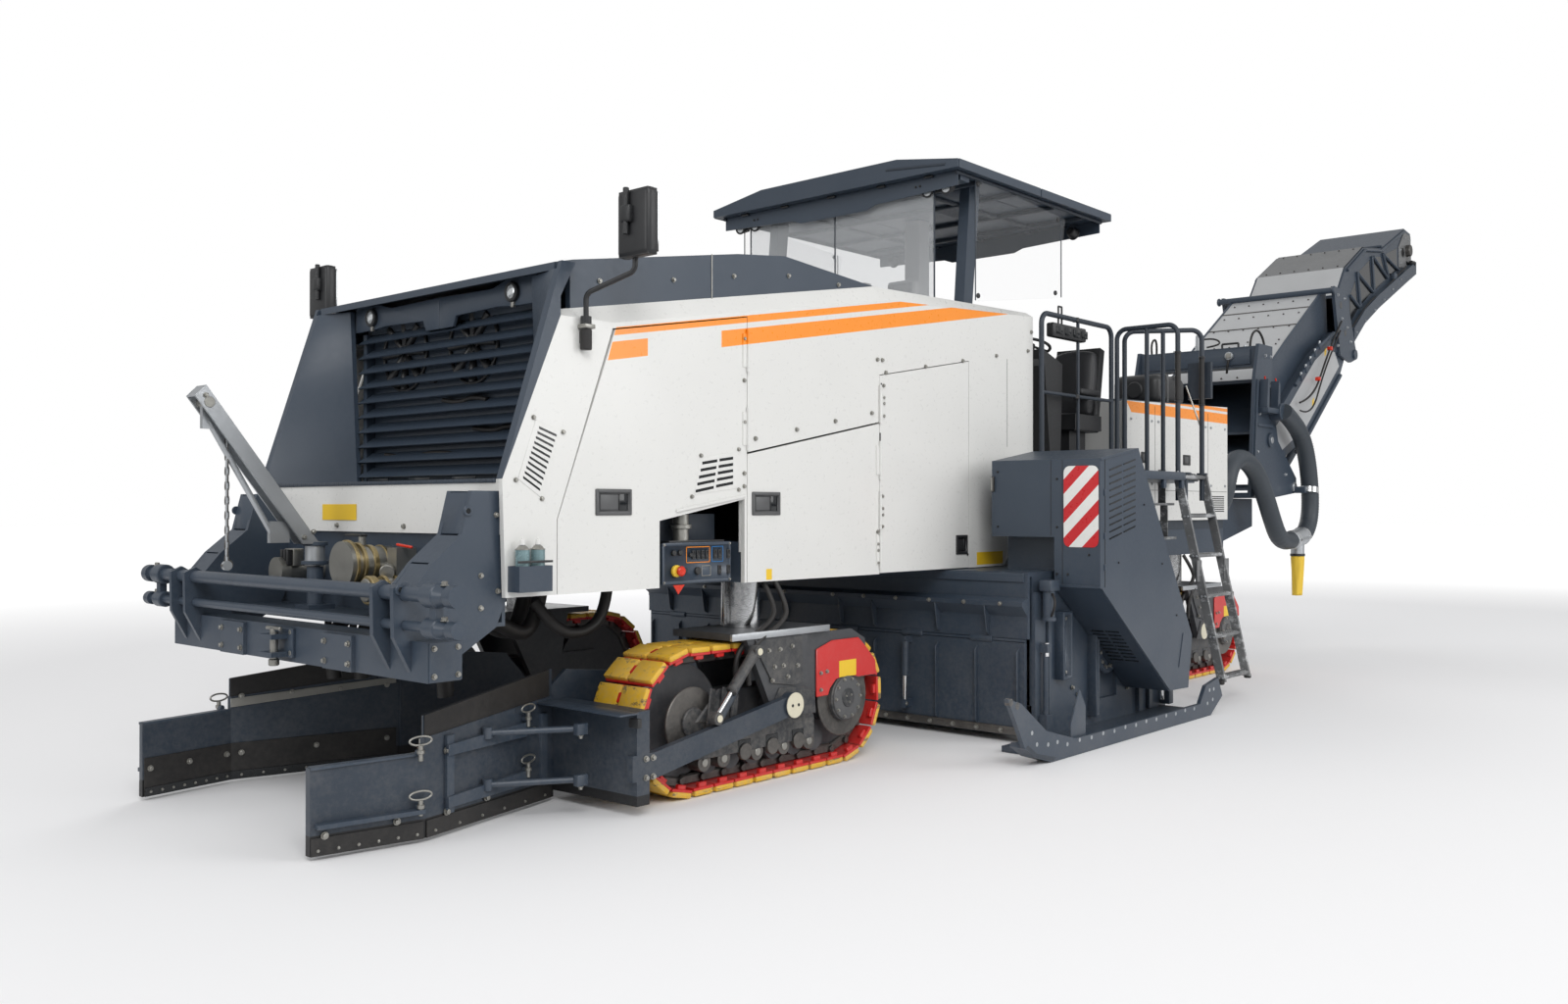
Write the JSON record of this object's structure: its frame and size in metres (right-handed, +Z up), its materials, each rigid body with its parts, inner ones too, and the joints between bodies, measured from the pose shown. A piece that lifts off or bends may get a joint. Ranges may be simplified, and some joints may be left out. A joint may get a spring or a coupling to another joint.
{
  "type": "cold recycler",
  "caption": "Self-propelled cold recycler on steered crawler tracks, with a milling rotor amidships and a folding discharge conveyor at the rear.",
  "frame": {"origin": "centre of the machine's footprint box on the ground", "axes": "+X rearwards along the machine towards the discharge conveyor, +Y to the machine's right, +Z up"},
  "size_m": [18.674, 4.716, 5.99],
  "materials": {
    "slate_paint": "satin",
    "white_paint": "satin",
    "dark_paint": "satin",
    "track_pads": "matt",
    "rubber_black": "matt",
    "plastic_black": "matt",
    "chrome": "polished",
    "cast_steel": "rough",
    "galvanised": "matt",
    "brass": "satin",
    "glass": "clear"
  },
  "bodies": {
    "machine": {"chassis_frame": "slate_paint", "engine_block": "cast_steel", "hood_top": "slate_paint", "hood_rear_deck": "white_paint", "body_panels": "white_paint", "front_cheeks": "slate_paint", "radiator_grille": "slate_paint", "front_apron": "white_paint", "control_boxes": "slate_paint", "front_frame": "slate_paint", "push_bars": "slate_paint", "front_couplings": "brass", "mirrors": "plastic_black", "spray_can_tray": "galvanised", "drum_housing": "slate_paint", "side_housings": "slate_paint", "rear_body": "slate_paint", "rear_hood": "white_paint", "platform_deck": "slate_paint", "handrails": "slate_paint", "ladders": "galvanised", "operator_stations": "plastic_black", "canopy": "slate_paint", "windows": "glass", "machine_duct": "rubber_black"},
    "davit": {"davit_arm": "slate_paint"},
    "rotor": {"milling_rotor": "cast_steel"},
    "flap": {"front_flap": "slate_paint"},
    "scraper": {"scraper_blade": "slate_paint"},
    "conveyor_slewing": {"slew_frame": "slate_paint", "conveyor_duct": "rubber_black"},
    "conveyor_lower": {"conveyor_boom": "slate_paint"},
    "conveyor_upper": {"conveyor_head": "galvanised"},
    "ram_barrels": {"luff_ram_barrels": "slate_paint"},
    "ram_rods": {"luff_ram_rods": "chrome"},
    "front_left_crawler": {"front_left_undercarriage": "dark_paint", "front_left_track": "track_pads"},
    "rear_left_crawler": {"rear_left_undercarriage": "dark_paint", "rear_left_track": "track_pads"},
    "left_blade": {"left_front_blade": "slate_paint"},
    "left_front_door_leaf": {"left_front_door": "white_paint"},
    "left_middle_door_leaf": {"left_middle_door": "white_paint"},
    "left_rear_door_leaf": {"left_rear_door": "white_paint"},
    "left_edge_plate": {"left_side_plate": "slate_paint"},
    "front_right_crawler": {"front_right_undercarriage": "dark_paint", "front_right_track": "track_pads"},
    "rear_right_crawler": {"rear_right_undercarriage": "dark_paint", "rear_right_track": "track_pads"},
    "right_blade": {"right_front_blade": "slate_paint"},
    "right_front_door_leaf": {"right_front_door": "white_paint"},
    "right_middle_door_leaf": {"right_middle_door": "white_paint"},
    "right_rear_door_leaf": {"right_rear_door": "white_paint"},
    "right_edge_plate": {"right_side_plate": "slate_paint"}
  },
  "joints": [
    {"name": "steer_front_left", "type": "hinge", "parent": "machine", "child": "front_left_crawler", "pos_m": [-6.589, -1.09, 0.9], "axis": [0, 0, 1], "range_deg": [-20, 20]},
    {"name": "steer_rear_left", "type": "hinge", "parent": "machine", "child": "rear_left_crawler", "pos_m": [-0.513, -1.09, 0.9], "axis": [0, 0, 1], "range_deg": [-15, 15]},
    {"name": "blade_lift_left", "type": "hinge", "parent": "front_left_crawler", "child": "left_blade", "pos_m": [-6.53, -1.43, 0.453], "axis": [0, 1, 0], "range_deg": [0, 4]},
    {"name": "left_front_door_swing", "type": "hinge", "parent": "machine", "child": "left_front_door_leaf", "pos_m": [-6.713, -1.2694, 1.8], "axis": [0, 0, 1], "range_deg": [0, 95]},
    {"name": "left_middle_door_swing", "type": "hinge", "parent": "machine", "child": "left_middle_door_leaf", "pos_m": [-5.397, -1.2694, 1.8], "axis": [0, 0, 1], "range_deg": [0, 88]},
    {"name": "left_rear_door_swing", "type": "hinge", "parent": "machine", "child": "left_rear_door_leaf", "pos_m": [-5.397, -1.2694, 1.8], "axis": [0, 0, -1], "range_deg": [0, 88]},
    {"name": "side_plate_lift_left", "type": "slide", "parent": "machine", "child": "left_edge_plate", "axis": [0, 0, 1], "range_m": [0, 0.15]},
    {"name": "steer_front_right", "type": "hinge", "parent": "machine", "child": "front_right_crawler", "pos_m": [-6.589, 1.09, 0.9], "axis": [0, 0, 1], "range_deg": [-20, 20]},
    {"name": "steer_rear_right", "type": "hinge", "parent": "machine", "child": "rear_right_crawler", "pos_m": [-0.513, 1.09, 0.9], "axis": [0, 0, 1], "range_deg": [-15, 15]},
    {"name": "blade_lift_right", "type": "hinge", "parent": "front_right_crawler", "child": "right_blade", "pos_m": [-6.53, 1.43, 0.453], "axis": [0, 1, 0], "range_deg": [0, 4]},
    {"name": "right_front_door_swing", "type": "hinge", "parent": "machine", "child": "right_front_door_leaf", "pos_m": [-6.713, 1.2694, 1.8], "axis": [0, 0, -1], "range_deg": [0, 95]},
    {"name": "right_middle_door_swing", "type": "hinge", "parent": "machine", "child": "right_middle_door_leaf", "pos_m": [-5.397, 1.2694, 1.8], "axis": [0, 0, -1], "range_deg": [0, 88]},
    {"name": "right_rear_door_swing", "type": "hinge", "parent": "machine", "child": "right_rear_door_leaf", "pos_m": [-5.397, 1.2694, 1.8], "axis": [0, 0, 1], "range_deg": [0, 88]},
    {"name": "side_plate_lift_right", "type": "slide", "parent": "machine", "child": "right_edge_plate", "axis": [0, 0, 1], "range_m": [0, 0.15]},
    {"name": "rotor_spin", "type": "hinge", "parent": "machine", "child": "rotor", "pos_m": [-3.513, 0, 0.56], "axis": [0, 1, 0], "continuous": true},
    {"name": "front_flap_swing", "type": "hinge", "parent": "machine", "child": "flap", "pos_m": [-4.568, 0, 0.712], "axis": [0, 1, 0], "range_deg": [0, 20]},
    {"name": "scraper_swing", "type": "hinge", "parent": "machine", "child": "scraper", "pos_m": [-2.398, 0, 1.12], "axis": [0, -1, 0], "range_deg": [0, 30]},
    {"name": "davit_swing", "type": "hinge", "parent": "machine", "child": "davit", "pos_m": [-8.613, 0.35, 1.37], "axis": [0, 0, 1], "range_deg": [-90, 45]},
    {"name": "conveyor_slew", "type": "hinge", "parent": "machine", "child": "conveyor_slewing", "pos_m": [2.637, 0, 1.8], "axis": [0, 0, 1], "range_deg": [-50, 50], "deforming": ["machine_duct"]},
    {"name": "conveyor_luff", "type": "hinge", "parent": "conveyor_slewing", "child": "conveyor_lower", "pos_m": [2.987, 0, 2.45], "axis": [0, -1, 0], "range_deg": [-8, 12]},
    {"name": "conveyor_fold", "type": "hinge", "parent": "conveyor_lower", "child": "conveyor_upper", "pos_m": [6.117, 0, 3.76], "axis": [0, 1, 0], "range_deg": [0, 85]},
    {"name": "ram_barrel_tilt", "type": "hinge", "parent": "conveyor_slewing", "child": "ram_barrels", "pos_m": [3.777, 0, 1.9], "axis": [0, -1, 0], "range_deg": [-10, 14.5]},
    {"name": "ram_stroke", "type": "slide", "parent": "ram_barrels", "child": "ram_rods", "axis": [0.8353, 0, 0.5498], "range_m": [-0.13, 0.2]}
  ],
  "couplings": [
    {"joint": "steer_front_right", "follows": "steer_front_left", "ratio": 1},
    {"joint": "steer_rear_right", "follows": "steer_rear_left", "ratio": 1},
    {"joint": "ram_barrel_tilt", "follows": "conveyor_luff", "ratio": 1.13},
    {"joint": "ram_stroke", "follows": "conveyor_luff", "m_per_rad": 0.905}
  ]
}
